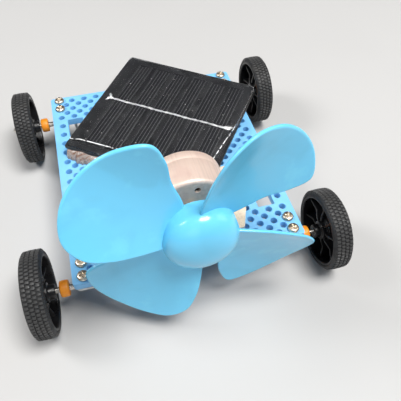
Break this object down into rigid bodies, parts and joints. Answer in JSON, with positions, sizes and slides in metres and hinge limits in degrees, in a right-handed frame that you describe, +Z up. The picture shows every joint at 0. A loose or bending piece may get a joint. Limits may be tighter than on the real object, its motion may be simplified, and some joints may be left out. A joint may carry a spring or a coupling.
{
  "type": "propeller driven kit car",
  "caption": "Small kit car: perforated plate on rubber-tyred wheels, a solar panel glued across its back and a round motor at the front that turns a broad-bladed propeller.",
  "frame": {"origin": "on the ground, under the middle of the car's bounding box", "axes": "+Z up, +X to the car's right as seen from behind the propeller, +Y towards the rear, the propeller faces -Y"},
  "size_m": [0.112, 0.1152, 0.0805],
  "materials": {
    "blue_plastic": "satin moulded",
    "blade_blue": "glossy moulded",
    "wheel_black": "satin moulded",
    "tyre_rubber": "matt, blocked tread",
    "collar_rubber": "satin",
    "bracket_steel": "zinc plated",
    "axle_steel": "drawn, bright",
    "screw_steel": "nickel plated",
    "can_steel": "satin plated",
    "panel_black": "satin",
    "silicon": "dark, glassy",
    "tinned_metal": "tinned",
    "clear_resin": "clear, glossy",
    "cream_foam": "matt foam tape",
    "cream_plastic": "satin moulded",
    "hot_glue": "cloudy, glossy",
    "ferrite": "matt sintered",
    "copper": "enamelled",
    "brass": "satin",
    "red_insulation": "satin",
    "black_insulation": "satin"
  },
  "bodies": {
    "chassis": {"base_plate": "blue_plastic", "axle_bracket_front_left": "bracket_steel", "screw_front_left_1": "screw_steel", "screw_front_left_2": "screw_steel", "axle_bracket_front_right": "bracket_steel", "screw_front_right_1": "screw_steel", "screw_front_right_2": "screw_steel", "axle_bracket_rear_left": "bracket_steel", "screw_rear_left_1": "screw_steel", "screw_rear_left_2": "screw_steel", "axle_bracket_rear_right": "bracket_steel", "screw_rear_right_1": "screw_steel", "screw_rear_right_2": "screw_steel", "panel_board": "panel_black", "solar_cell_1": "silicon", "solar_cell_2": "silicon", "solar_cell_3": "silicon", "solar_cell_4": "silicon", "solar_cell_5": "silicon", "solar_cell_6": "silicon", "cell_ribbon": "tinned_metal", "panel_resin_cover": "clear_resin", "solder_pad_red": "tinned_metal", "solder_pad_black": "tinned_metal", "foam_pad_front": "cream_foam", "foam_pad_rear": "cream_foam", "motor_pad": "cream_foam", "glue_bead": "hot_glue", "motor_can": "can_steel", "motor_magnet": "ferrite", "motor_end_cap": "cream_plastic", "motor_cradle": "cream_plastic", "motor_bush": "brass", "motor_terminal_left": "brass", "motor_terminal_right": "brass", "lead_red": "red_insulation", "lead_black": "black_insulation"},
    "front_axle_set": {"front_axle": "axle_steel", "axle_collar_front_left": "collar_rubber", "axle_collar_front_right": "collar_rubber", "wheel_rim_front_left": "wheel_black", "wheel_rim_front_right": "wheel_black", "tyre_front_left": "tyre_rubber", "tyre_front_right": "tyre_rubber"},
    "rear_axle_set": {"rear_axle": "axle_steel", "axle_collar_rear_left": "collar_rubber", "axle_collar_rear_right": "collar_rubber", "wheel_rim_rear_left": "wheel_black", "wheel_rim_rear_right": "wheel_black", "tyre_rear_left": "tyre_rubber", "tyre_rear_right": "tyre_rubber"},
    "propeller_set": {"propeller": "blade_blue", "motor_shaft": "axle_steel", "motor_armature": "copper", "motor_commutator": "copper"}
  },
  "joints": [
    {"name": "front_axle_spin", "type": "hinge", "parent": "chassis", "child": "front_axle_set", "pos_m": [0, -0.03975, 0.0146], "axis": [1, 0, 0], "continuous": true},
    {"name": "rear_axle_spin", "type": "hinge", "parent": "chassis", "child": "rear_axle_set", "pos_m": [0, 0.04025, 0.0146], "axis": [1, 0, 0], "continuous": true},
    {"name": "propeller_spin", "type": "hinge", "parent": "chassis", "child": "propeller_set", "pos_m": [0.0002, -0.04975, 0.0448], "axis": [0, -0.9985, 0.0551], "continuous": true}
  ]
}
